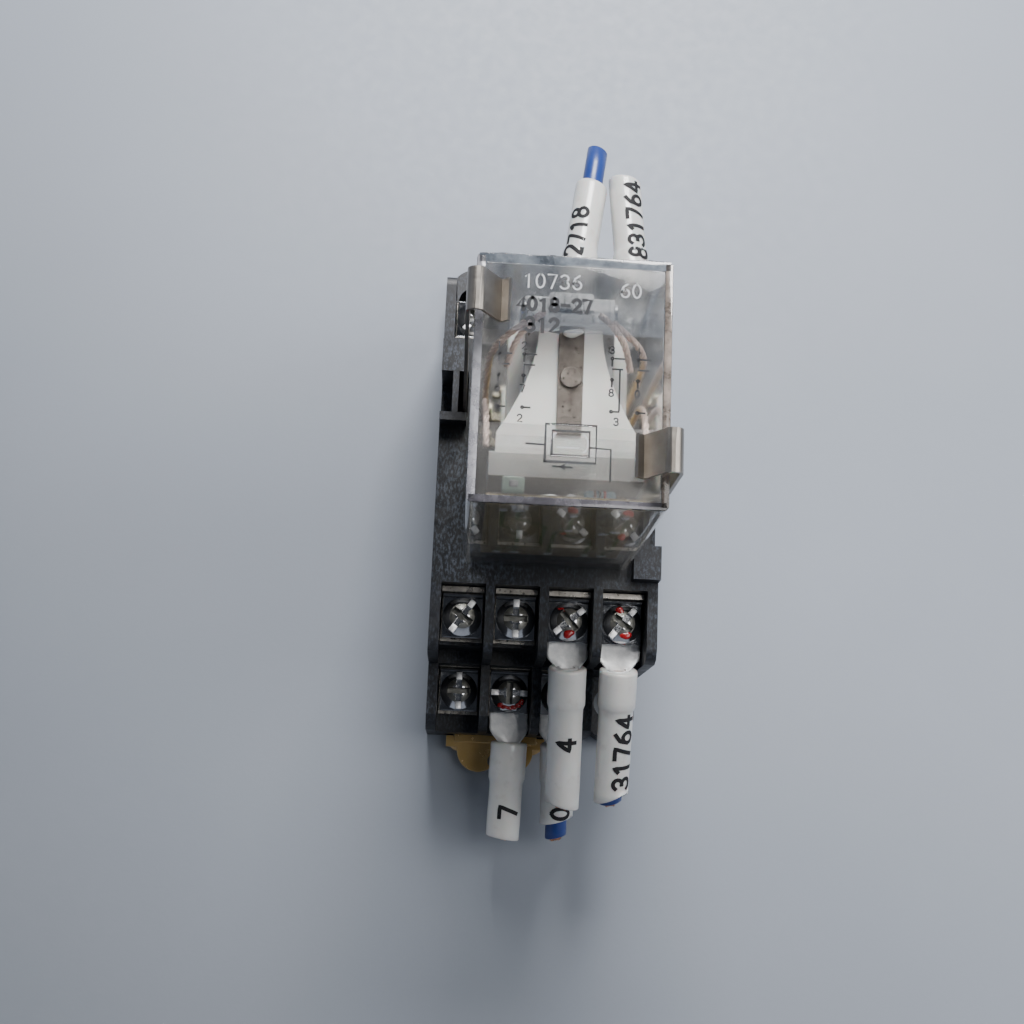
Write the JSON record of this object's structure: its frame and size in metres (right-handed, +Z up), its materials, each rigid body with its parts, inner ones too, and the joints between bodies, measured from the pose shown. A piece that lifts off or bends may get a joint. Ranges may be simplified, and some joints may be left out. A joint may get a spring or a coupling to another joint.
{
  "type": "industrial control relay",
  "caption": "Plug-in control relay with a clear cover, held by spring clips in a screw-terminal rail socket with short wires on ring lugs.",
  "frame": {"origin": "centre of the socket's underside, in the middle of the object's bottom", "axes": "+X across the terminal columns, +Y along the socket, +Z up out of the panel towards the relay"},
  "size_m": [0.0296, 0.0984, 0.0665],
  "materials": {
    "black_plastic": "satin moulded",
    "relay_base_plastic": "satin moulded",
    "terminal_alloy": "tin-plated",
    "plated_steel": "nickel-plated",
    "spring_steel": "polished",
    "amber_plastic": "translucent",
    "clear_plastic": "clear moulded",
    "plated_blade": "plated",
    "silver_contact": "polished",
    "white_plastic": "satin",
    "copper_wire": "enamelled",
    "coil_tape": "glossy tape",
    "soft_iron": "plated",
    "spring_bronze": "polished",
    "circuit_board": "lacquered",
    "green_lamp": "diffused",
    "resistor_coat": "lacquered",
    "diode_body": "moulded",
    "flexible_lead": "braided",
    "tinned_lug": "tinned",
    "white_vinyl": "vinyl",
    "blue_insulation": "vinyl"
  },
  "bodies": {
    "socket": {"socket_base": "black_plastic", "socket_housing": "black_plastic", "upper_terminals": "terminal_alloy", "lower_terminals": "terminal_alloy", "upper_washers": "plated_steel", "lower_washers": "plated_steel", "upper_screws": "plated_steel", "lower_screws": "plated_steel", "latch_spring": "spring_steel", "lug_front_upper_3": "tinned_lug", "sleeve_front_upper_3": "white_vinyl", "wire_front_upper_3": "blue_insulation", "lug_front_upper_4": "tinned_lug", "sleeve_front_upper_4": "white_vinyl", "wire_front_upper_4": "blue_insulation", "lug_front_lower_2": "tinned_lug", "sleeve_front_lower_2": "white_vinyl", "wire_front_lower_2": "blue_insulation", "lug_front_lower_3": "tinned_lug", "sleeve_front_lower_3": "white_vinyl", "wire_front_lower_3": "blue_insulation", "lug_rear_upper_3": "tinned_lug", "sleeve_rear_upper_3": "white_vinyl", "wire_rear_upper_3": "blue_insulation", "lug_rear_upper_4": "tinned_lug", "sleeve_rear_upper_4": "white_vinyl", "wire_rear_upper_4": "blue_insulation"},
    "left_clip": {"clip_left": "spring_steel"},
    "right_clip": {"clip_right": "spring_steel"},
    "latch": {"rail_latch": "amber_plastic"},
    "relay": {"relay_cover": "clear_plastic", "relay_base": "relay_base_plastic", "blades_nc": "plated_blade", "blades_no": "plated_blade", "blades_com": "plated_blade", "blades_coil": "plated_blade", "contacts_nc": "silver_contact", "contacts_no": "silver_contact", "coil_bobbin": "white_plastic", "coil_winding": "copper_wire", "coil_tape": "coil_tape", "coil_core": "soft_iron", "yoke": "soft_iron", "return_spring": "spring_bronze", "led_board": "circuit_board", "led_lamp": "green_lamp", "resistor": "resistor_coat", "diode": "diode_body", "flexible_leads": "flexible_lead"},
    "armature_assembly": {"armature": "soft_iron", "contact_card": "white_plastic", "card_leaf": "soft_iron", "card_rivet": "soft_iron", "moving_springs": "spring_bronze", "moving_contacts": "silver_contact"}
  },
  "joints": [
    {"name": "relay_pull", "type": "slide", "parent": "socket", "child": "relay", "axis": [0, 0, 1], "range_m": [0, 0.0475], "deforming": ["clip_left", "clip_right"]},
    {"name": "left_clip_swing", "type": "hinge", "parent": "socket", "child": "left_clip", "pos_m": [-0.0115, 0.0083, 0.022], "axis": [0, -1, 0], "range_deg": [0, 6.5], "stiffness_Nm_per_rad": 0.5},
    {"name": "right_clip_swing", "type": "hinge", "parent": "socket", "child": "right_clip", "pos_m": [0.0115, -0.0083, 0.022], "axis": [0, 1, 0], "range_deg": [0, 6.5], "stiffness_Nm_per_rad": 0.5},
    {"name": "rail_latch_slide", "type": "slide", "parent": "socket", "child": "latch", "axis": [0, -1, 0], "range_m": [0, 0.0025], "stiffness_N_per_m": 600, "springref_m": -0.002, "deforming": ["latch_spring"]},
    {"name": "armature_rock", "type": "hinge", "parent": "relay", "child": "armature_assembly", "pos_m": [0, 0.0104, 0.0551], "axis": [1, 0, 0], "range_deg": [0, 3], "stiffness_Nm_per_rad": 0.01, "springref_deg": -11.46}
  ]
}
